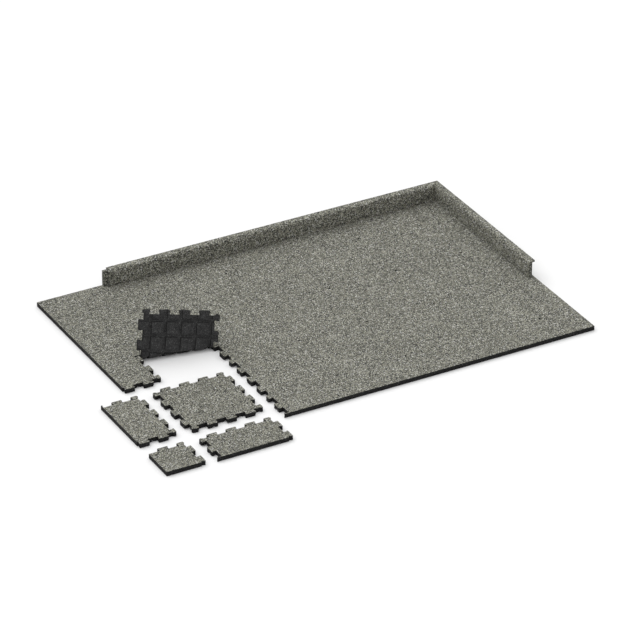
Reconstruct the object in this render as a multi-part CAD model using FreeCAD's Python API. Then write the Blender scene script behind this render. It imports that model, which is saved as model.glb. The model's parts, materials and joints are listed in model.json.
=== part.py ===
"""Interlocking rubber floor with wall skirting, one corner taken apart and one tile folded up.

Every piece is rubber granulate 31 mm thick or more. The tiles lock with dovetail tabs, four to
a side, and come apart upwards. Lengths are in millimetres.
"""
import FreeCAD, Part
import math
import os

from FreeCAD import Vector

os.makedirs("parts", exist_ok=True)

# ---- Floor layout ----
PITCH = 500.0          # seam to seam, one full tile
COLUMNS = 5            # full tiles from left to right, between the edge tiles
ROWS = 3               # full tiles from front to back, between the edge tiles
EDGE_WIDTH = 256.5     # seam to cut outer edge of an edge tile
TILE_THICK = 31.0
GAP = 0.4              # clearance between two joined tiles

# ---- Interlocking tabs ----
TAB_REACH = 15.7       # seam to tab tip, and seam to socket floor
TAB_PITCH = 133.0      # tab centre to tab centre along a side
TAB_TIP = 75.0         # tab width at its tip
TAB_NECK = TAB_PITCH - TAB_TIP   # the neighbour's tabs fill what the tabs leave
TIP_ROUND = 6.0        # outer corners of the tabs
FLOOR_ROUND = 3.0      # inner corners of the sockets
CORNER_ROUND = 12.0    # end of the corner tab, and the hollow that another tile's corner tab fills

# ---- Moulded underside: square pads with shallow channels between them ----
CHANNELS = 5                           # each way on a full tile
CHANNEL_PITCH = PITCH / CHANNELS
FIRST_CHANNEL = Vector(56.0, 50.0, 0.0)   # its middle, from the left and from the front seam
CHANNEL_MOUTH = 22.0
CHANNEL_FLOOR = 18.0
CHANNEL_DEPTH = 8.0
RIM = 24.0             # solid border along a cut side

# ---- Loose tiles at the front left, drawn apart step by step ----
APART_X = 107.5
APART_Y = 128.5
SPIKE_WIDTH = 12.0     # sliver that is trimmed off the loose corner tile

# ---- Folded tile, in column 1, row 2 ----
FOLD_SKEW = -10.4      # fold line against the left-right direction, degrees
FOLD_MID = Vector(250.0, 289.0, 0.0)   # middle of the fold line, from the tile's front left corner
FOLD_ANGLE = 107.7     # how far the front half is bent up, degrees
FOLD_RADIUS = 18.0     # inner radius, at the walking face
RAISED_SIDE_GAP = 4.0  # from the raised half's side to the neighbours' tab tips
CUT = 0.5              # between the raised half and the bend

# ---- Skirting boards, standing on the floor's outer edge ----
BOARD_HEIGHT = 126.0
BOARD_THICK = 42.5
BOARD_SLOPE = 10.0     # fall of the top from the wall to the room
BOARD_ROUND = 20.0     # rounding of the top front edge
BOARD_BACK_ROUND = 3.0 # rounding of the top back edge
BOARD_START = 247.5    # left end of the back run, from the first seam
BOARD_NEAR_END = 485.0 # near end of the right run, from the first seam
LAP_LENGTH = 30.0      # tongue at a board's left end, rebate at its right end
LAP_THICK = 21.0
LAP_LIP = 15.0         # left above the rebate
LAP_GAP = 0.5

MAT_RIGHT = COLUMNS * PITCH + EDGE_WIDTH
MAT_BACK = ROWS * PITCH + EDGE_WIDTH
LEFT_MOST = -2 * APART_X - EDGE_WIDTH
FRONT_MOST = -2 * APART_Y - EDGE_WIDTH
# The row's origin: middle of the whole layout, on the ground.
ORIGIN = Vector((LEFT_MOST + MAT_RIGHT) / 2, (FRONT_MOST + MAT_BACK) / 2, 0)
UP = Vector(0, 0, 1)


def save(name, shape):
    """Write one piece, moved into the row's frame."""
    placed = shape.copy()
    placed.translate(-ORIGIN)
    placed.exportStep(f"parts/{name}.step")


def rounded_wire(corners):
    """Closed wire through (x, y, radius) corners, each one rounded by its radius."""
    edges = []
    count = len(corners)
    ends = []
    for i, (x, y, radius) in enumerate(corners):
        here = Vector(x, y, 0)
        before = Vector(*corners[i - 1][:2], 0)
        after = Vector(*corners[(i + 1) % count][:2], 0)
        back = (before - here).normalize()
        on = (after - here).normalize()
        half = back.getAngle(on) / 2
        if radius <= 0 or abs(half - math.pi / 2) < 1e-6:
            ends.append((here, None, here))
            continue
        reach = radius / math.tan(half)
        middle = here + (back + on).normalize() * (radius / math.sin(half) - radius)
        ends.append((here + back * reach, middle, here + on * reach))
    for i, (start, middle, end) in enumerate(ends):
        if middle is not None:
            edges.append(Part.Arc(start, middle, end).toShape())
        following = ends[(i + 1) % count][0]
        if (following - end).Length > 1e-6:
            edges.append(Part.LineSegment(end, following).toShape())
    return Part.Wire(edges)


def side_corners():
    """One side of a tile as (along, outward, radius), from its start corner to its end corner."""
    slack = GAP / 2
    tip, floor = TAB_REACH - slack, -TAB_REACH - slack
    tip_half, neck_half = TAB_TIP / 2 - slack, TAB_NECK / 2 - slack
    last = PITCH / 2 + TAB_PITCH * 5 / 4
    neighbour = PITCH - last
    # The corner tab's slanted side crosses the seam where round end and hollow just clear.
    crossing = tip - CORNER_ROUND + GAP / math.sqrt(2)
    corners = [
        (-floor, crossing + floor, CORNER_ROUND),
        (crossing - tip, tip, CORNER_ROUND),
        (neighbour - TAB_NECK / 2 - slack, tip, TIP_ROUND),
        (neighbour - TAB_TIP / 2 - slack, floor, FLOOR_ROUND),
    ]
    for centre in (last - 2 * TAB_PITCH, last - TAB_PITCH, last):
        corners += [
            (centre - neck_half, floor, FLOOR_ROUND),
            (centre - tip_half, tip, TIP_ROUND),
            (centre + tip_half, tip, TIP_ROUND),
            (centre + neck_half, floor, FLOOR_ROUND),
        ]
    return corners


def underside_channels():
    """The grid of channels moulded into a tile's underside, as one tool."""
    mouth, floor = CHANNEL_MOUTH / 2, CHANNEL_FLOOR / 2
    section = Part.makePolygon([
        Vector(0, -mouth, 0), Vector(0, mouth, 0),
        Vector(0, floor, CHANNEL_DEPTH), Vector(0, -floor, CHANNEL_DEPTH), Vector(0, -mouth, 0)])
    along = Part.Face(section).extrude(Vector(2 * PITCH, 0, 0))
    along.translate(Vector(-PITCH / 2, 0, 0))
    across = along.copy()
    across.rotate(Vector(0, 0, 0), UP, 90)
    tools = []
    for step in range(CHANNELS):
        tools.append(along.translated(Vector(0, FIRST_CHANNEL.y + step * CHANNEL_PITCH, 0)))
        tools.append(across.translated(Vector(FIRST_CHANNEL.x + step * CHANNEL_PITCH, 0, 0)))
    return tools[0].fuse(tools[1:])


def tile_blank():
    """One tile without its channels, its nominal square from (0, 0) to (PITCH, PITCH)."""
    side = side_corners()
    corners = [(u, -n, r) for u, n, r in side]
    corners += [(PITCH + n, u, r) for u, n, r in side]
    corners += [(PITCH - u, PITCH + n, r) for u, n, r in side]
    corners += [(-n, PITCH - u, r) for u, n, r in side]
    return Part.Face(rounded_wire(corners)).extrude(UP * TILE_THICK)


def block(x0, x1, y0, y1):
    """A cutting block over the whole thickness."""
    return Part.makeBox(x1 - x0, y1 - y0, 3 * TILE_THICK, Vector(x0, y0, -TILE_THICK))


BLANK = tile_blank()
CHANNEL_GRID = underside_channels()
TILE = BLANK.cut(CHANNEL_GRID)


def edge_tile(left=False, right=False, front=False, back=False):
    """A tile cut straight on the sides that lie on the floor's outer edge, with a solid rim there."""
    keep = PITCH - EDGE_WIDTH
    x0, x1 = (keep if left else -PITCH), (EDGE_WIDTH if right else 2 * PITCH)
    y0, y1 = (keep if front else -PITCH), (EDGE_WIDTH if back else 2 * PITCH)
    padded = block(x0 + RIM * left, x1 - RIM * right, y0 + RIM * front, y1 - RIM * back)
    return BLANK.common(block(x0, x1, y0, y1)).cut(CHANNEL_GRID.common(padded))


def field_tile(column, row):
    """The tile at a place in the grid; -1 is the left or front edge."""
    sides = dict(left=column < 0, right=column == COLUMNS, front=row < 0, back=row == ROWS)
    shape = edge_tile(**sides) if any(sides.values()) else TILE.copy()
    shape.translate(Vector(column * PITCH, row * PITCH, 0))
    return shape


# ---- Tiles that stay joined ----
LOOSE = {(0, 0): "loose_full_tile", (-1, 0): "loose_left_edge_tile",
         (0, -1): "loose_front_edge_tile", (-1, -1): "loose_corner_tile"}
FOLDED = (0, 1)

for column in range(-1, COLUMNS + 1):
    for row in range(-1, ROWS + 1):
        if (column, row) in LOOSE or (column, row) == FOLDED:
            continue
        sides = []
        if row < 0:
            sides.append("front")
        if row == ROWS:
            sides.append("back")
        if column < 0:
            sides.append("left")
        if column == COLUMNS:
            sides.append("right")
        if len(sides) == 2:
            name = "corner_tile_" + "_".join(sides)
        elif sides:
            place = f"c{column + 1}" if row in (-1, ROWS) else f"r{row + 1}"
            name = f"{sides[0]}_edge_tile_{place}"
        else:
            name = f"tile_c{column + 1}_r{row + 1}"
        save(name, field_tile(column, row))

# ---- Tiles drawn apart ----
for (column, row), name in LOOSE.items():
    shape = field_tile(column, row)
    if (column, row) == (-1, -1):
        spike = block(-EDGE_WIDTH - 1, -EDGE_WIDTH + SPIKE_WIDTH, -TAB_REACH - GAP / 2, TAB_REACH)
        shape = shape.cut(spike)
    steps_x = 2 if column < 0 else 1
    steps_y = 2 if row < 0 else 1
    save(name, shape.translated(Vector(-APART_X * steps_x, -APART_Y * steps_y, 0)))

# ---- Folded tile ----
SKEW = math.radians(FOLD_SKEW)
BEND = math.radians(FOLD_ANGLE)
ALONG_FOLD = Vector(math.cos(SKEW), math.sin(SKEW), 0)
TO_FRONT = Vector(math.sin(SKEW), -math.cos(SKEW), 0)
NEUTRAL = FOLD_RADIUS + TILE_THICK / 2
BEND_LENGTH = NEUTRAL * BEND      # length of tile that the bend takes up


def ahead_of_fold(distance):
    """A block over everything more than distance in front of the fold line."""
    shape = block(-1.5 * PITCH, 1.5 * PITCH, -3 * PITCH, -distance)
    shape.rotate(Vector(0, 0, 0), UP, FOLD_SKEW)
    shape.translate(FOLD_MID)
    return shape


def fold_pivot():
    """The one line about which a turn by FOLD_ANGLE lays the raised half flat."""
    shift_v = NEUTRAL * math.sin(BEND) - BEND_LENGTH * math.cos(BEND)
    shift_z = NEUTRAL * (1 - math.cos(BEND)) - BEND_LENGTH * math.sin(BEND)
    lean = 1 / math.tan(BEND / 2)
    ahead = (shift_v - lean * shift_z) / 2
    height = (shift_z + lean * shift_v) / 2
    return FOLD_MID + TO_FRONT * ahead + UP * (TILE_THICK / 2 + height)


def bend_section():
    """The bent strip between the flat half and the raised half, across the fold."""
    top, bottom = FOLD_RADIUS, FOLD_RADIUS + TILE_THICK

    def at(radius, share):
        return Vector(0, -radius * math.sin(BEND * share), bottom - radius * math.cos(BEND * share))

    return Part.Face(Part.Wire([
        Part.LineSegment(at(bottom, 0), at(top, 0)).toShape(),
        Part.Arc(at(top, 0), at(top, 0.5), at(top, 1)).toShape(),
        Part.LineSegment(at(top, 1), at(bottom, 1)).toShape(),
        Part.Arc(at(bottom, 1), at(bottom, 0.5), at(bottom, 0)).toShape()]))


SIDE = TAB_REACH + RAISED_SIDE_GAP
tile_place = Vector(FOLDED[0] * PITCH, FOLDED[1] * PITCH, 0)

seated = TILE.cut(ahead_of_fold(0))
save("folded_tile_seated_half", seated.translated(tile_place))

bend = bend_section().extrude(Vector(PITCH, 0, 0))
bend.translate(Vector(-PITCH / 2, 0, 0))
bend.rotate(Vector(0, 0, 0), UP, FOLD_SKEW)
bend.translate(FOLD_MID)
bend = bend.common(Part.makeBox(PITCH - 2 * SIDE, PITCH, PITCH, Vector(SIDE, 0, 0)))
save("folded_tile_bend", bend.translated(tile_place))

raised = TILE.common(ahead_of_fold(BEND_LENGTH + CUT))
raised = raised.common(block(SIDE, PITCH - SIDE, -PITCH, PITCH))
raised.rotate(fold_pivot(), -ALONG_FOLD, FOLD_ANGLE)
save("folded_tile_raised_half", raised.translated(tile_place))


# ---- Skirting ----
def board(length, tongue=False, rebate=False, mitre_left=False, mitre_right=False):
    """A board along +X from 0 to length, its wall face at y = 0 and its foot at z = 0."""
    outline = rounded_wire([
        (0, 0, 0), (-BOARD_THICK, 0, 0),
        (-BOARD_THICK, BOARD_HEIGHT - BOARD_SLOPE, BOARD_ROUND), (0, BOARD_HEIGHT, BOARD_BACK_ROUND)])
    section = Part.Face(outline)
    section.rotate(Vector(0, 0, 0), Vector(1, 0, 0), 90)
    section.rotate(Vector(0, 0, 0), UP, 90)
    shape = section.extrude(Vector(length, 0, 0))
    lap_top = BOARD_HEIGHT - LAP_LIP
    if tongue:
        shape = shape.fuse(Part.makeBox(
            LAP_LENGTH + 1, LAP_THICK, lap_top, Vector(-LAP_LENGTH, -LAP_THICK, 0))).removeSplitter()
    if rebate:
        shape = shape.cut(Part.makeBox(
            LAP_LENGTH + LAP_GAP, LAP_THICK + LAP_GAP, lap_top + LAP_GAP,
            Vector(length - LAP_LENGTH - LAP_GAP, -LAP_THICK - LAP_GAP, 0)))
    for wanted, corner, turn in ((mitre_left, LAP_GAP, 45), (mitre_right, length - LAP_GAP, -45)):
        if wanted:
            reach = 4 * BOARD_THICK
            wedge = Part.makeBox(reach, 2 * reach, 2 * BOARD_HEIGHT,
                                 Vector(-reach if turn > 0 else 0, -reach, -1))
            wedge.rotate(Vector(0, 0, 0), UP, turn)
            shape = shape.cut(wedge.translated(Vector(corner, 0, 0)))
    return shape


back_run = MAT_RIGHT - BOARD_START
middle_joint = BOARD_START + back_run / 2
on_mat = UP * TILE_THICK

back_left = board(back_run / 2 - LAP_GAP, tongue=True, rebate=True)
save("skirting_back_left", back_left.translated(Vector(BOARD_START, MAT_BACK, 0) + on_mat))

back_corner = board(back_run / 2, tongue=True, mitre_right=True)
save("skirting_back_corner", back_corner.translated(Vector(middle_joint, MAT_BACK, 0) + on_mat))

right = board(MAT_BACK - BOARD_NEAR_END, rebate=True, mitre_left=True)
right.rotate(Vector(0, 0, 0), UP, -90)
save("skirting_right", right.translated(Vector(MAT_RIGHT, MAT_BACK, 0) + on_mat))
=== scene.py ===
"""Looks of the interlocking rubber floor: tiles of pressed granulate, skirting, studio and light.

Every tile and board is rebuilt around its CAD solid with rounded, slightly crumbly edges. Lengths
are in metres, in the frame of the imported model.
"""
import json
import math

import bmesh
import bpy
import numpy as np
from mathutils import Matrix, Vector, noise
from mathutils.geometry import delaunay_2d_cdt

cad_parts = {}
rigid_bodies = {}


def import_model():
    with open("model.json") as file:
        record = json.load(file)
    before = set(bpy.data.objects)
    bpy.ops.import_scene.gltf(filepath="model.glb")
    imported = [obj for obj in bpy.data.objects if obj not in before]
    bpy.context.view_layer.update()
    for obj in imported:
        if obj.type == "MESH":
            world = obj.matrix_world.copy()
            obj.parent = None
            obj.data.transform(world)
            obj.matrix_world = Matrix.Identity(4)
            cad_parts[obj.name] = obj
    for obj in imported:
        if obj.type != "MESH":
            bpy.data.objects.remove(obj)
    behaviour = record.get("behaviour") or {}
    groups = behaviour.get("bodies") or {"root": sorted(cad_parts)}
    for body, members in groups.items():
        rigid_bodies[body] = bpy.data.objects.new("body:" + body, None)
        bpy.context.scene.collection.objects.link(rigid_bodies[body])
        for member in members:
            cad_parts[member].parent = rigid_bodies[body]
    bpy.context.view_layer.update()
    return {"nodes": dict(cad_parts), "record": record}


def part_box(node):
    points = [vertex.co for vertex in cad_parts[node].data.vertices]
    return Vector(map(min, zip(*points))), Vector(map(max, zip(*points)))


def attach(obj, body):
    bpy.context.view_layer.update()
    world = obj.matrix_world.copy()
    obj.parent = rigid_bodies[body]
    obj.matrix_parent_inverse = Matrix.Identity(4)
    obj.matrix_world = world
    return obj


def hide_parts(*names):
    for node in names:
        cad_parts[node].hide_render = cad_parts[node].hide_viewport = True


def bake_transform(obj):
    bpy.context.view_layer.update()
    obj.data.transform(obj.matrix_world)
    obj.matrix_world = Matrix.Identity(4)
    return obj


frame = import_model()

# ---- The tile system, as in the CAD ----
PITCH = 0.500
EDGE_WIDTH = 0.2565
THICK = 0.031
GAP = 0.0004
TAB_REACH = 0.0157
TAB_PITCH = 0.133
TAB_TIP = 0.075
TAB_NECK = TAB_PITCH - TAB_TIP
TIP_ROUND = 0.006
FLOOR_ROUND = 0.003
CORNER_ROUND = 0.012
SPIKE_WIDTH = 0.012
CHANNELS = 5
CHANNEL_PITCH = PITCH / CHANNELS
FIRST_CHANNEL = (0.056, 0.050)
CHANNEL_MOUTH = 0.022
CHANNEL_FLOOR = 0.018
CHANNEL_DEPTH = 0.008
RIM = 0.024              # solid border of the underside along a cut side
RIM_SLOPE = 0.002        # over which a channel runs out into the rim

# ---- The fold of the tile in column 1, row 2 ----
FOLD_SKEW = math.radians(-10.4)
FOLD_ANGLE = math.radians(107.7)
FOLD_RADIUS = 0.018
FOLD_MID = Vector((0.250, 0.289))      # from the tile's front left corner
NEUTRAL = FOLD_RADIUS + THICK / 2
BEND_LENGTH = NEUTRAL * FOLD_ANGLE

# ---- Spacing of the points ----
ARC_STEP = 0.003         # round the small arcs
WALL_STEP = 0.0045       # along straight runs
WALL_HEIGHTS = (0.0015, 0.008, 0.014, 0.020, 0.0255)
ROUND_TURNS = (0, 30, 60, 90)          # degrees round the rim, from the wall to the face
TOP_STEP = 0.025         # across the walking face
BENT_STEP = 0.011        # the same on the folded tile
LATTICE_MARGIN = 0.4     # room between the rim and the points inside it, in steps
SHORTEST_RUN = 0.012     # shorter pieces of a channel's edge are left out
RUN_INSET = 0.004        # from the wall to the first point of a channel's edge
BOARD_STEP = 0.012       # along a skirting board's edges
LONG_EDGE = 1.5          # a board's edge is divided if it is longer than this, in steps

# ---- Finish of the tiles ----
EDGE_ROUND = 0.0012      # rounding where top and sides meet
MITRE_LIMIT = 0.6        # holds back the inset at sharp corners
FOOT_INSET = 0.5         # inset where wall and underside meet, as a share of the rounding
FOOT_CRUMBLE = 0.3       # crumbling there, as a share of the wall's
FACE_HOLD = 0.6          # how much less the rim of the walking face crumbles
ROUND_ROOM = 0.35        # most that the rounding takes from a narrow spot, as a share of it
CRUMBLE_ROOM = 0.1       # most that the crumbling takes from it
CRUMBLE = 0.0004         # how deep granules are missing from a wall
CRUMBLE_SIZE = 0.007     # across a crumbled spot
CRUMBLE_MORE = 0.2       # raises the share of the wall that is crumbled
CRUMBLE_SEED = 3.1
TOP_SWELL = 0.0005       # unevenness of the walking face
SWELL_SIZE = 0.06
SWELL_SEED = 1.7
FACED_RINGS = 2          # bands of the rounded rim that carry the walking face's granulate
CREASE = math.radians(50)              # sharper creases stay sharp
GRAIN_SHIFT = 10         # how far apart the grain of two pieces may be taken

# ---- Finish of the boards ----
BOARD_FLAT = math.radians(1)           # faces closer in direction than this are joined
BOARD_SHARP = math.radians(40)         # edges sharper than this are rounded
BOARD_BEVEL = 0.0018
BEVEL_SEGMENTS = 3
BOARD_CRUMBLE = 0.0006
BOARD_CRUMBLE_SIZE = 0.009
BOARD_CRUMBLE_MORE = 0.1
END_FACING = 0.6         # faces turned this much along a board are its ends, which get a darker copy of the granulate

# ---- Tolerances ----
SAME_POINT = 1e-5
ABOVE_LINE = 1e-6
ON_LINE = 1e-7
PARALLEL = 1e-12
TINY = 1e-15
TRIANGLES_INSIDE = 1     # kind of result asked of the triangulation

# ---- Granulate: granule shades from a share on, as display shades and tints ----
GRANULE = 0.0048         # across one granule
GREENISH = (1.0, 1.0, 0.83)
PLAIN = (1.0, 1.0, 0.96)
WARM = (1.03, 1.0, 0.80)
GRANULE_SHADES = [
    (0.00, 42, PLAIN), (0.12, 68, PLAIN), (0.28, 96, GREENISH), (0.50, 123, GREENISH),
    (0.68, 146, WARM), (0.82, 172, GREENISH), (0.93, 200, PLAIN),
]
FACE_GAIN = 1.015
# The boards carry a lighter copy of the walking face's granulate: painted light on their upright faces.
SKIRTING_PAINTED_LIGHT_GAIN = 1.05
# The board's end faces get a darker copy of the skirting granulate.
SKIRTING_END_GAIN = 0.85
# Black of the cut sides; the same darker granulate also goes on the underside's channel walls as painted
# shade in the grooves.
WALL_AND_GROOVE_SHADE_COLOURS = [(0.0, 21), (0.3, 32), (0.7, 40), (0.93, 53), (0.985, 86)]
UNDERSIDE_SHADES = [(0.0, 51), (0.3, 63), (0.7, 73), (0.93, 88)]
STIR_SCALE = 260.0       # of the noise that makes the granules uneven
STIR = 0.0024            # how far it moves a place

# Clouds are (size, detail, roughness, darkest, palest) of soft patches in the colour. Joints between
# granules are shares of a granule's size. Levels and skin are shares of the relief's depth.
PRESSED_FACE = {
    "granule": GRANULE, "clouds": [(0.022, 3.0, 0.6, 0.97, 1.03), (0.35, 2.0, 0.5, 0.95, 1.05)],
    "joint": 0.10, "joint_shade": 0.55, "dome": 0.22, "levels": 0.45, "skin": 0.25, "skin_size": 0.0009,
    "relief": 0.55, "depth": 0.0008, "roughness": (0.72, 0.95), "specular": 0.25,
}
BLACK_BODY = {
    "granule": GRANULE * 0.9, "clouds": [(0.05, 4.0, 0.65, 0.8, 1.25)],
    "joint": 0.12, "joint_shade": 0.3, "dome": 0.25, "levels": 0.9, "skin": 0.3, "skin_size": 0.0008,
    "relief": 0.7, "depth": 0.0012, "roughness": (0.75, 0.97), "specular": 0.2,
}

# ---- Light and camera ----
DOME = 0.82
OVERHEAD = 1.45
OVERHEAD_ANGLE = math.radians(70)
OVERHEAD_FROM = (-0.2, 0.6, 1.0)
FLOOR_WHITE = 0.88
FLOOR_HALF = 60.0        # half the side of the studio floor
FLOOR_DROP = 0.0005      # keeps the studio floor clear of the undersides
CAMERA_YAW = 28.864
CAMERA_PITCH = 29.769
CAMERA_TARGET = (0.13137, 0.16267, 0.0)
CAMERA_DISTANCE = 27.873
SENSOR_WIDTH = 36.0      # millimetres, as is the lens
CAMERA_LENS = SENSOR_WIDTH * 4298.0 / 630
CLIP_NEAR, CLIP_FAR = 1.0, 200.0


# ---- Plan outline of a tile ----
def side_corners():
    """One side of a tile as (along, outward, radius), from its start corner to its end corner."""
    slack = GAP / 2
    tip, floor = TAB_REACH - slack, -TAB_REACH - slack
    tip_half, neck_half = TAB_TIP / 2 - slack, TAB_NECK / 2 - slack
    last = PITCH / 2 + TAB_PITCH * 5 / 4
    neighbour = PITCH - last
    crossing = tip - CORNER_ROUND + GAP / math.sqrt(2)
    corners = [
        (-floor, crossing + floor, CORNER_ROUND),
        (crossing - tip, tip, CORNER_ROUND),
        (neighbour - TAB_NECK / 2 - slack, tip, TIP_ROUND),
        (neighbour - TAB_TIP / 2 - slack, floor, FLOOR_ROUND),
    ]
    for centre in (last - 2 * TAB_PITCH, last - TAB_PITCH, last):
        corners += [
            (centre - neck_half, floor, FLOOR_ROUND),
            (centre - tip_half, tip, TIP_ROUND),
            (centre + tip_half, tip, TIP_ROUND),
            (centre + neck_half, floor, FLOOR_ROUND),
        ]
    return corners


def rounded(corners):
    """Points round a closed outline of (x, y, radius) corners, dense enough for the arcs."""
    points = []
    count = len(corners)
    for i, (x, y, radius) in enumerate(corners):
        here = np.array((x, y))
        back = np.array(corners[i - 1][:2]) - here
        on = np.array(corners[(i + 1) % count][:2]) - here
        back, on = back / np.linalg.norm(back), on / np.linalg.norm(on)
        half = math.acos(np.clip(back @ on, -1, 1)) / 2
        start = here + back * radius / math.tan(half)
        centre = here + (back + on) / np.linalg.norm(back + on) * radius / math.sin(half)
        turn = math.pi - 2 * half
        steps = max(2, math.ceil(radius * turn / ARC_STEP))
        sign = 1 if on[0] * back[1] - on[1] * back[0] > 0 else -1
        arm = start - centre
        for k in range(steps + 1):
            a = sign * turn * k / steps
            points.append(centre + (arm[0] * math.cos(a) - arm[1] * math.sin(a),
                                    arm[0] * math.sin(a) + arm[1] * math.cos(a)))
    return points


def full_outline():
    """The outline of a full tile, counter-clockwise."""
    side = side_corners()
    corners = [(u, -n, r) for u, n, r in side]
    corners += [(PITCH + n, u, r) for u, n, r in side]
    corners += [(PITCH - u, PITCH + n, r) for u, n, r in side]
    corners += [(-n, PITCH - u, r) for u, n, r in side]
    return rounded(corners)


def clipped(points, axis, limit, keep_above):
    """The part of an outline on one side of a straight cut."""
    out = []
    sign = 1 if keep_above else -1
    for i, here in enumerate(points):
        after = points[(i + 1) % len(points)]
        inside, next_inside = sign * (here[axis] - limit) >= 0, sign * (after[axis] - limit) >= 0
        if inside:
            out.append(here)
        if inside != next_inside:
            t = (limit - here[axis]) / (after[axis] - here[axis])
            out.append(here + t * (after - here))
    return out


def spaced(points, step):
    """The same closed outline with no gap between points longer than step."""
    points = [p for i, p in enumerate(points) if np.linalg.norm(p - points[i - 1]) > SAME_POINT]
    out = []
    for i, here in enumerate(points):
        after = points[(i + 1) % len(points)]
        length = np.linalg.norm(after - here)
        parts = max(1, math.ceil(length / step))
        out += [here + (after - here) * k / parts for k in range(parts)]
    return np.array(out)


OUTLINE = full_outline()


def tile_outline(left=False, right=False, front=False, back=False, no_spike=False):
    """The outline of a tile cut straight on the named sides, if asked without its back edge's sliver."""
    points = OUTLINE
    keep = PITCH - EDGE_WIDTH
    if left:
        points = clipped(points, 0, keep, True)
    if right:
        points = clipped(points, 0, EDGE_WIDTH, False)
    if front:
        points = clipped(points, 1, keep, True)
    if back:
        points = clipped(points, 1, EDGE_WIDTH, False)
    if no_spike:
        floor = PITCH - TAB_REACH - GAP / 2
        spike = [i for i, (x, y) in enumerate(points)
                 if x < keep + SPIKE_WIDTH and y > floor + ABOVE_LINE]
        points = [p for i, p in enumerate(points) if i not in spike[1:]]
        points[spike[0]] = np.array((keep, floor))
    return spaced(points, WALL_STEP)


# ---- Turning an outline into a solid tile ----
def inward(points):
    """Inward direction at each point of a counter-clockwise outline, longer at sharp corners."""
    before = points - np.roll(points, 1, axis=0)
    after = np.roll(points, -1, axis=0) - points
    normals = []
    for edge in (before, after):
        unit = edge / np.linalg.norm(edge, axis=1)[:, None]
        normals.append(np.stack([-unit[:, 1], unit[:, 0]], 1))
    mean = normals[0] + normals[1]
    mean /= np.linalg.norm(mean, axis=1)[:, None]
    return mean / np.clip((mean * normals[0]).sum(1), MITRE_LIMIT, 1)[:, None]


def room_inside(points, direction):
    """Distance from each outline point, along direction, to the outline's other side, or 1 m."""
    edge = np.roll(points, -1, axis=0) - points
    room = np.ones(len(points))
    for i, (p, d) in enumerate(zip(points, direction)):
        cross = d[0] * edge[:, 1] - d[1] * edge[:, 0]
        cross = np.where(abs(cross) < PARALLEL, PARALLEL, cross)
        rel = points - p
        t = (rel[:, 0] * edge[:, 1] - rel[:, 1] * edge[:, 0]) / cross
        s = (rel[:, 0] * d[1] - rel[:, 1] * d[0]) / cross
        hit = t[(t > SAME_POINT) & (s >= 0) & (s <= 1)]
        if len(hit):
            room[i] = hit.min()
    return room


def inside(points, outline):
    """Which points lie inside an outline."""
    x, y = points[:, 0], points[:, 1]
    result = np.zeros(len(points), bool)
    for (x0, y0), (x1, y1) in zip(outline, np.roll(outline, -1, axis=0)):
        crosses = (y0 > y) != (y1 > y)
        if crosses.any():
            result ^= crosses & (x < x0 + (y - y0) * (x1 - x0) / (y1 - y0 + TINY))
    return result


def wander(x, y, size, seed):
    """Smooth noise from -1 to 1 with features of a given size."""
    return noise.noise(Vector((x / size, y / size, seed)))


def rims_of(sides):
    """Where the rim along each cut side ends, as (axis, place, direction away from the rim)."""
    near, far = PITCH - EDGE_WIDTH + RIM, EDGE_WIDTH - RIM
    ends = {"left": (0, near, 1), "right": (0, far, -1),
            "front": (1, near, 1), "back": (1, far, -1)}
    return [ends[side] for side in sorted(sides)]


def channel_height(points, rims):
    """Height of the moulded underside above the ground at each point."""
    height = np.zeros(len(points))
    for axis in (0, 1):
        from_first = points[:, axis] - FIRST_CHANNEL[axis]
        number = np.clip(np.round(from_first / CHANNEL_PITCH), 0, CHANNELS - 1)
        offset = np.abs(from_first - number * CHANNEL_PITCH)
        slope = (CHANNEL_MOUTH / 2 - offset) / ((CHANNEL_MOUTH - CHANNEL_FLOOR) / 2)
        height = np.maximum(height, np.clip(slope, 0, 1) * CHANNEL_DEPTH)
    for axis, place, away in rims:
        height *= np.clip(away * (points[:, axis] - place) / RIM_SLOPE, 0, 1)
    return height


def channel_edges(axis, rims):
    """Places along an axis where the slope of the underside changes."""
    widths = (CHANNEL_MOUTH, CHANNEL_FLOOR)
    edges = [FIRST_CHANNEL[axis] + k * CHANNEL_PITCH + side * width / 2
             for k in range(CHANNELS) for side in (-1, 1) for width in widths]
    for rim_axis, place, away in rims:
        if rim_axis == axis:
            edges = [at for at in edges if away * (at - place) > RIM_SLOPE]
            edges += [place, place + away * RIM_SLOPE]
    return edges


def crossings(outline, rims):
    """The outline with points where the edges of channels cross it, and the runs of those edges.

    A run is (axis, place on it, number of the first point, number of the last point).
    """
    points = outline
    for axis in (0, 1):
        for at in channel_edges(axis, rims):
            out = []
            for i, here in enumerate(points):
                after = points[(i + 1) % len(points)]
                out.append(here)
                a, b = here[axis] - at, after[axis] - at
                if a * b < 0 and min(abs(a), abs(b)) > ON_LINE:
                    point = here + (after - here) * a / (a - b)
                    point[axis] = at
                    out.append(point)
            points = np.array(out)
    runs = []
    for axis in (0, 1):
        for at in channel_edges(axis, rims):
            found = [i for i in range(len(points)) if abs(points[i][axis] - at) <= ON_LINE]
            found.sort(key=lambda i: points[i][1 - axis])
            for i, j in zip(found, found[1:]):
                middle = (points[i] + points[j]) / 2
                length = np.linalg.norm(points[i] - points[j])
                if length > SHORTEST_RUN and inside(middle[None], points)[0]:
                    runs.append((axis, at, i, j))
    return points, runs


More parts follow.
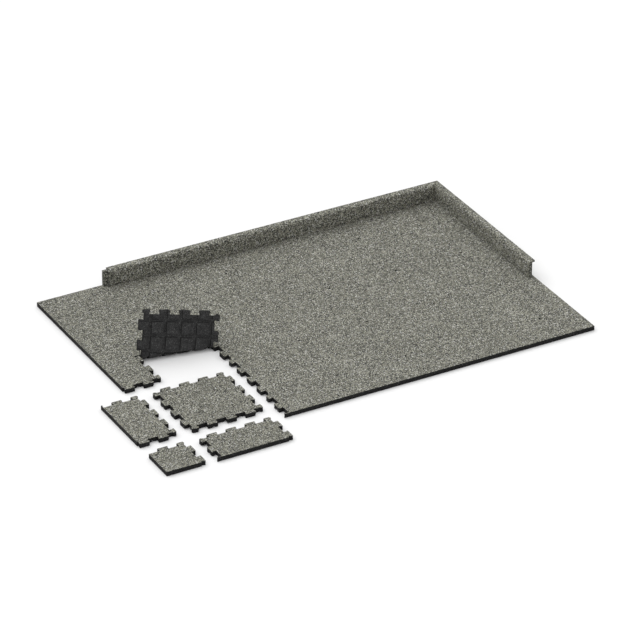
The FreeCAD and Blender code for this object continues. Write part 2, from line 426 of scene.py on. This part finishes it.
def cover(ring, inner, lines):
    """Triangles over a ring of points, through inner points and along lines of more points.

    A line is (ring point, [places], ring point). Returns new places and triangles of numbers, where
    the ring's own points come first.
    """
    places = [Vector(p) for p in ring]
    edges = [(i, (i + 1) % len(ring)) for i in range(len(ring))]
    for start, between, end in lines:
        chain = [start] + list(range(len(places), len(places) + len(between))) + [end]
        places += [Vector(p) for p in between]
        edges += list(zip(chain, chain[1:]))
    places += [Vector(p) for p in inner]
    verts, _, faces, origins, _, _ = delaunay_2d_cdt(places, edges, [], TRIANGLES_INSIDE, ON_LINE)
    verts = np.array([tuple(v) for v in verts])
    number, extra = {}, []
    for i, origin in enumerate(origins):
        on_ring = [o for o in origin if o < len(ring)]
        if on_ring:
            number[i] = on_ring[0]
        else:
            number[i] = len(ring) + len(extra)
            extra.append(verts[i])
    middles = np.array([verts[list(f)].mean(0) for f in faces])
    keep = inside(middles, np.asarray(ring))
    triangles = [tuple(number[i] for i in f) for f, ok in zip(faces, keep) if ok]
    return np.array(extra).reshape(-1, 2), [t for t in triangles if len(set(t)) == 3]


def lattice(ring, step, margin):
    """Points spread over the inside of a ring, at least margin from it."""
    low, high = ring.min(0), ring.max(0)
    gx, gy = np.meshgrid(np.arange(low[0] + step / 2, high[0], step),
                         np.arange(low[1] + step / 2, high[1], step))
    points = np.stack([gx.ravel(), gy.ravel()], 1)
    points = points[inside(points, ring)]
    away = [np.min(np.hypot(ring[:, 0] - x, ring[:, 1] - y)) > margin for x, y in points]
    return points[np.array(away, bool)]


def tile_mesh(name, outline, place, rims=(), step=TOP_STEP, bend=None):
    """A tile as a mesh: walking face, rounded edge, crumbly walls and underside with its channels.

    place is the tile's front left corner in the frame. bend, if given, moves the finished points.
    """
    outline, runs = crossings(outline, rims)
    count = len(outline)
    direction = inward(outline)
    room = room_inside(outline, direction)
    rounding = np.minimum(EDGE_ROUND, ROUND_ROOM * room)
    lift = channel_height(outline, rims)
    world = outline + np.array(place)

    # Rings from the underside up: height, inset as a share of the rounding, and share of crumbling.
    levels = [(0.0, FOOT_INSET, FOOT_CRUMBLE)] + [(height, 0.0, 1.0) for height in WALL_HEIGHTS]
    for turn in ROUND_TURNS:
        sine, cosine = math.sin(math.radians(turn)), math.cos(math.radians(turn))
        levels.append((THICK - EDGE_ROUND * (1 - sine), 1 - cosine, 1 - FACE_HOLD * sine))
    rings = []
    for k, (height, share, crumble) in enumerate(levels):
        spots = [wander(x, y, CRUMBLE_SIZE, CRUMBLE_SEED * k) + CRUMBLE_MORE for x, y in world]
        loss = np.minimum(CRUMBLE * crumble * np.maximum(spots, 0.0), CRUMBLE_ROOM * room)
        ring = outline + direction * (rounding * share + loss)[:, None]
        rings.append(np.column_stack([ring, lift + height * (1 - lift / THICK)]))

    faces, slots = [], []
    last = len(rings) - 1
    for k in range(last):
        for i in range(count):
            j = (i + 1) % count
            faces.append((k * count + i, k * count + j, (k + 1) * count + j, (k + 1) * count + i))
            slots.append(0 if k >= last - FACED_RINGS else 1)
    verts = list(rings)
    total = count * len(rings)

    # Walking face.
    ring = rings[last][:, :2]
    extra, triangles = cover(ring, lattice(ring, step, LATTICE_MARGIN * step), [])
    swell = [abs(wander(x, y, SWELL_SIZE, SWELL_SEED)) for x, y in extra + np.array(place)]
    verts.append(np.column_stack([extra, THICK - TOP_SWELL * np.array(swell)]))
    faces += [tuple(i + last * count if i < count else i - count + total for i in t)
              for t in triangles]
    slots += [0] * len(triangles)
    total += len(extra)

    # Underside, along the edges of its channels.
    ring = rings[0][:, :2]
    lines = []
    for axis, at, i, j in runs:
        a, b = outline[i][1 - axis], outline[j][1 - axis]
        parts = 1 if bend is None else max(1, round((b - a) / step))
        between = []
        for along in np.linspace(a + RUN_INSET, b - RUN_INSET, parts + 1):
            between.append((at, along) if axis == 0 else (along, at))
        lines.append((i, between, j))
    inner = lattice(ring, step, LATTICE_MARGIN * step) if bend is not None else []
    extra, triangles = cover(ring, inner, lines)
    verts.append(np.column_stack([extra, channel_height(extra, rims)]))
    faces += [tuple(i if i < count else i - count + total for i in t)[::-1] for t in triangles]
    places = np.vstack([outline, extra])
    height = channel_height(places, rims)
    # Sloped channel walls get slot 1, the darker wall granulate, as painted shade in the grooves; the
    # flat underside gets slot 2.
    slots += [1 if np.ptp(height[list(t)]) > CHANNEL_DEPTH / 2 else 2 for t in triangles]

    points = np.vstack(verts)
    pressed = points + np.array((*place, 0.0))
    if bend is not None:
        points = bend(points)
    points = points + np.array((*place, 0.0))
    return solid(name, points, faces, slots, pressed)


def solid(name, points, faces, slots, pressed):
    """A new object from points and faces.

    slots holds each face's material number, and pressed each point's place when the piece was
    moulded. Every piece has its grain from a different spot.
    """
    mesh = bpy.data.meshes.new(name)
    mesh.from_pydata(points.tolist(), [], faces)
    mesh.polygons.foreach_set("material_index", slots)
    mesh.polygons.foreach_set("use_smooth", [True] * len(faces))
    grain = mesh.attributes.new("pressed_place", "FLOAT_VECTOR", "POINT")
    number = len(bpy.data.objects)
    shift = np.array([noise.cell(Vector((number + 0.5, k + 0.5, 0.5))) for k in range(3)])
    grain.data.foreach_set("vector", (pressed + GRAIN_SHIFT * shift).astype(np.float32).ravel())
    mesh.update()
    mesh.set_sharp_from_angle(angle=CREASE)
    piece = bpy.data.objects.new(name, mesh)
    bpy.context.scene.collection.objects.link(piece)
    return piece


# ---- The folded tile ----
ALONG_FOLD = np.array((math.cos(FOLD_SKEW), math.sin(FOLD_SKEW)))
TO_FRONT = np.array((math.sin(FOLD_SKEW), -math.cos(FOLD_SKEW)))


def folded(points):
    """Bends the front of a flat tile up about the fold line."""
    rel = points[:, :2] - np.array(FOLD_MID)
    along, ahead = rel @ ALONG_FOLD, rel @ TO_FRONT
    turn = np.clip(ahead / NEUTRAL, 0, FOLD_ANGLE)
    beyond = np.maximum(ahead - BEND_LENGTH, 0)
    radius = FOLD_RADIUS + THICK - points[:, 2]
    out = np.where(ahead < 0, ahead, radius * np.sin(turn) + beyond * np.cos(turn))
    up = FOLD_RADIUS + THICK - radius * np.cos(turn) + beyond * np.sin(turn)
    plan = np.array(FOLD_MID) + along[:, None] * ALONG_FOLD + out[:, None] * TO_FRONT
    return np.column_stack([plan, np.where(ahead < 0, points[:, 2], up)])


# ---- Skirting ----
def board(name, node):
    """A skirting board: the CAD solid with its long edges divided, rounded and a little crumbly."""
    mesh = bpy.data.meshes.new(name)
    bm = bmesh.new()
    bm.from_mesh(node.data)
    bmesh.ops.remove_doubles(bm, verts=bm.verts, dist=SAME_POINT)
    bmesh.ops.dissolve_limit(bm, angle_limit=BOARD_FLAT, verts=bm.verts, edges=bm.edges)
    for edge in list(bm.edges):
        length = edge.calc_length()
        if length > BOARD_STEP * LONG_EDGE:
            bmesh.ops.subdivide_edges(bm, edges=[edge], cuts=round(length / BOARD_STEP) - 1)
    sharp = [e for e in bm.edges if e.calc_face_angle(0) > BOARD_SHARP]
    bmesh.ops.bevel(bm, geom=sharp, offset=BOARD_BEVEL, segments=BEVEL_SEGMENTS, profile=0.5,
                    affect="EDGES", clamp_overlap=True)
    bmesh.ops.triangulate(bm, faces=[f for f in bm.faces if len(f.verts) > 4])
    bm.normal_update()
    for v in bm.verts:
        loss = max(0.0, noise.noise(v.co / BOARD_CRUMBLE_SIZE) + BOARD_CRUMBLE_MORE)
        v.co -= v.normal * BOARD_CRUMBLE * loss
    bm.to_mesh(mesh)
    bm.free()
    points = np.array([v.co for v in mesh.vertices])
    faces = [tuple(p.vertices) for p in mesh.polygons]
    length = int(np.argmax(np.ptp(points, axis=0)))
    # Faces along the board's length, its ends, get slot 1, the darker copy of the granulate.
    slots = [int(abs(p.normal[length]) > END_FACING) for p in mesh.polygons]
    bpy.data.meshes.remove(mesh)
    return solid(name, points, faces, slots, points)


# ---- Materials ----
def new_material(name):
    """A material with its node tree and its shader."""
    material = bpy.data.materials.new(name)
    material.use_nodes = True
    tree = material.node_tree
    return material, tree, tree.nodes["Principled BSDF"]


def node(tree, kind, inputs=None, **settings):
    """A shader node with its settings and inputs; an input is a value or another node's socket."""
    made = tree.nodes.new("ShaderNode" + kind)
    for key, value in settings.items():
        setattr(made, key, value)
    for key, value in (inputs or {}).items():
        if isinstance(value, bpy.types.NodeSocket):
            tree.links.new(value, made.inputs[key])
        else:
            made.inputs[key].default_value = value
    return made


def linear(shade, tint=(1.0, 1.0, 1.0)):
    """Linear colour of an 8-bit display shade, with a tint."""
    value = shade / 255
    value = value / 12.92 if value <= 0.04045 else ((value + 0.055) / 1.055) ** 2.4
    return (value * tint[0], value * tint[1], value * tint[2], 1.0)


def maths(tree, operation, *values):
    """The result of a sum on values or sockets."""
    return node(tree, "Math", dict(enumerate(values)), operation=operation).outputs[0]


def mapped(tree, value, source, target, interpolation="LINEAR"):
    """A value taken from one range to another, and held inside it."""
    ranges = {"From Min": source[0], "From Max": source[1], "To Min": target[0], "To Max": target[1]}
    made = node(tree, "MapRange", {"Value": value, **ranges}, interpolation_type=interpolation)
    return made.outputs[0]


def soft_noise(tree, vector, size, detail, roughness=0.5):
    """Noise with features of a given size."""
    made = node(tree, "TexNoise", {"Vector": vector, "Scale": 1 / size, "Detail": detail,
                                   "Roughness": roughness})
    return made.outputs["Fac"]


def grain_vector(tree):
    """Place in the moulded piece: a little disturbed, so that granules are uneven, and plain."""
    plain = node(tree, "Attribute", attribute_type="GEOMETRY",
                 attribute_name="pressed_place").outputs["Vector"]
    stir = node(tree, "TexNoise", {"Vector": plain, "Scale": STIR_SCALE, "Detail": 2.0})
    centred = node(tree, "VectorMath", {0: stir.outputs["Color"], 1: (0.5, 0.5, 0.5)},
                   operation="SUBTRACT")
    moved = node(tree, "VectorMath", {0: centred.outputs[0], 1: (STIR,) * 3}, operation="MULTIPLY")
    stirred = node(tree, "VectorMath", {0: plain, 1: moved.outputs[0]}, operation="ADD")
    return stirred.outputs[0], plain


def ramp(tree, factor, stops):
    """The colour of the last stop at or below a factor."""
    made = node(tree, "ValToRGB", {"Fac": factor})
    made.color_ramp.interpolation = "CONSTANT"
    elements = made.color_ramp.elements
    while len(elements) < len(stops):
        elements.new(0.5)
    for element, (position, colour) in zip(elements, stops):
        element.position = position
        element.color = colour
    return made.outputs["Color"]


def cells(tree, vector, size):
    """Granules of a given size: three random numbers each, and the distance to the joint."""
    inputs = {"Vector": vector, "Scale": 1 / size, "Randomness": 1.0}
    body = node(tree, "TexVoronoi", inputs, voronoi_dimensions="3D", feature="F1")
    edge = node(tree, "TexVoronoi", inputs, voronoi_dimensions="3D", feature="DISTANCE_TO_EDGE")
    chance = node(tree, "SeparateColor", {"Color": body.outputs["Color"]})
    return chance.outputs, edge.outputs["Distance"]


def granulate(name, stops, look):
    """Pressed rubber granulate: granules of many shades, each flattened by the press."""
    material, tree, shader = new_material(name)
    vector, plain = grain_vector(tree)
    chance, edge = cells(tree, vector, look["granule"])
    colour = ramp(tree, chance["Red"], stops)

    # Patches where darker or paler granules gather, and a dark joint round each granule.
    gain = 1.0
    for size, detail, roughness, darkest, palest in look["clouds"]:
        cloud = soft_noise(tree, plain, size, detail, roughness)
        gain = maths(tree, "MULTIPLY", gain, mapped(tree, cloud, (0.3, 0.7), (darkest, palest)))
    crevice = mapped(tree, edge, (0.0, look["joint"]), (look["joint_shade"], 1.0), "SMOOTHSTEP")
    gain = maths(tree, "MULTIPLY", gain, crevice)
    shaded = node(tree, "VectorMath", {0: colour, "Scale": gain}, operation="SCALE")
    tree.links.new(shaded.outputs[0], shader.inputs["Base Color"])

    # Each granule sits a little higher or lower, with a joint round it and a fine skin.
    level = maths(tree, "MULTIPLY", chance["Green"], look["levels"])
    dome = mapped(tree, edge, (0.0, look["dome"]), (0.0, 1.0), "SMOOTHSTEP")
    skin = soft_noise(tree, plain, look["skin_size"], 2.0)
    height = maths(tree, "MULTIPLY_ADD", skin, look["skin"], maths(tree, "ADD", level, dome))
    bump = node(tree, "Bump", {"Height": height, "Strength": look["relief"], "Distance": look["depth"]})
    tree.links.new(bump.outputs[0], shader.inputs["Normal"])

    rough = mapped(tree, chance["Blue"], (0.0, 1.0), look["roughness"])
    tree.links.new(rough, shader.inputs["Roughness"])
    shader.inputs["Specular IOR Level"].default_value = look["specular"]
    return material


def speckled_granulate(name, gain):
    """Granulate from black to pale grey, as on the walking face and the skirting."""
    stops = [(position, linear(shade * gain, tint)) for position, shade, tint in GRANULE_SHADES]
    return granulate(name, stops, PRESSED_FACE)


def black_granulate(name, shades):
    """Black granulate of the tile's body, as its cut sides and its moulded underside show it."""
    return granulate(name, [(position, linear(shade)) for position, shade in shades], BLACK_BODY)


WALKING_FACE = speckled_granulate("granulate_walking_face", FACE_GAIN)
# The cut sides' black granulate, also used as painted shade on the underside's channel walls.
CUT_WALL_AND_GROOVE_SHADE = black_granulate("granulate_cut_wall_and_groove_shade", WALL_AND_GROOVE_SHADE_COLOURS)
UNDERSIDE = black_granulate("granulate_underside", UNDERSIDE_SHADES)
# Lighter copy of the walking face's granulate: painted light on the boards.
SKIRTING = speckled_granulate("granulate_skirting", SKIRTING_PAINTED_LIGHT_GAIN)
SKIRTING_END = speckled_granulate("granulate_skirting_end", SKIRTING_END_GAIN)


# ---- Placing the tiles ----
def finish_tile(piece):
    """Gives a tile its materials, in the order of its faces' slots."""
    for material in (WALKING_FACE, CUT_WALL_AND_GROOVE_SHADE, UNDERSIDE):
        piece.data.materials.append(material)


EDGE_SIDES = ("left", "right", "front", "back")


def sides_of(name):
    """Which sides of a tile are cut straight, from its name."""
    if name == "loose_corner_tile":
        return {"left", "front"}
    if "edge_tile" in name or "corner_tile" in name:
        return {side for side in EDGE_SIDES if side in name}
    return set()


def corner_of(low, high, sides):
    """Front left corner of a tile's nominal square, from the box of its CAD node."""
    reach = TAB_REACH - GAP / 2
    x = high.x - reach - PITCH if "left" in sides else low.x + reach
    y = high.y - reach - PITCH if "front" in sides else low.y + reach
    return (x, y)


body_of_node = {member: body for body, members in frame["record"]["behaviour"]["bodies"].items()
                for member in members}

for name in sorted(frame["nodes"]):
    body = body_of_node[name]
    if name.startswith("skirting"):
        piece = board("board_" + name, frame["nodes"][name])
        piece.data.materials.append(SKIRTING)
        piece.data.materials.append(SKIRTING_END)
        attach(piece, body)
        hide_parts(name)
    elif not name.startswith("folded"):
        sides = sides_of(name)
        place = corner_of(*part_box(name), sides)
        outline = tile_outline(no_spike=name == "loose_corner_tile", **dict.fromkeys(sides, True))
        piece = tile_mesh("granulate_" + name, outline, place, rims_of(sides))
        finish_tile(piece)
        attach(piece, body)
        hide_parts(name)

seam = corner_of(*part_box("tile_c2_r2"), set())
place = (seam[0] - PITCH, seam[1])
piece = tile_mesh("granulate_folded_tile", tile_outline(), place, step=BENT_STEP, bend=folded)
finish_tile(piece)
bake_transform(piece)
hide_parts("folded_tile_seated_half", "folded_tile_bend", "folded_tile_raised_half")


# ---- Studio ----
scene = bpy.context.scene
scene.view_settings.view_transform = "Standard"
scene.view_settings.look = "None"

paper, _, shader = new_material("white_floor")
shader.inputs["Base Color"].default_value = (FLOOR_WHITE, FLOOR_WHITE, FLOOR_WHITE, 1.0)
shader.inputs["Roughness"].default_value = 0.9
shader.inputs["Specular IOR Level"].default_value = 0.1
floor_mesh = bpy.data.meshes.new("studio_floor")
floor_corners = [(x * FLOOR_HALF, y * FLOOR_HALF, 0) for x, y in ((-1, -1), (1, -1), (1, 1), (-1, 1))]
floor_mesh.from_pydata(floor_corners, [], [(0, 1, 2, 3)])
floor_mesh.materials.append(paper)
studio_floor = bpy.data.objects.new("studio_floor", floor_mesh)
studio_floor.location.z = -FLOOR_DROP
scene.collection.objects.link(studio_floor)

world = bpy.data.worlds.new("studio")
world.use_nodes = True
background = world.node_tree.nodes["Background"]
background.inputs["Color"].default_value = (1.0, 1.0, 1.0, 1.0)
background.inputs["Strength"].default_value = DOME
scene.world = world

lamp = bpy.data.lights.new("overhead", "SUN")
lamp.energy = OVERHEAD
lamp.angle = OVERHEAD_ANGLE
overhead = bpy.data.objects.new("overhead", lamp)
overhead.rotation_mode = "QUATERNION"
overhead.rotation_quaternion = (-Vector(OVERHEAD_FROM)).to_track_quat("-Z", "Y")
scene.collection.objects.link(overhead)

# ---- Camera ----
yaw, pitch = math.radians(CAMERA_YAW), math.radians(CAMERA_PITCH)
level = math.cos(pitch)
forward = Vector((math.sin(yaw) * level, math.cos(yaw) * level, -math.sin(pitch)))
lens = bpy.data.cameras.new("camera")
lens.sensor_width = SENSOR_WIDTH
lens.lens = CAMERA_LENS
lens.clip_start, lens.clip_end = CLIP_NEAR, CLIP_FAR
camera = bpy.data.objects.new("camera", lens)
camera.location = Vector(CAMERA_TARGET) - forward * CAMERA_DISTANCE
camera.rotation_mode = "QUATERNION"
camera.rotation_quaternion = forward.to_track_quat("-Z", "Y")
scene.collection.objects.link(camera)
scene.camera = camera
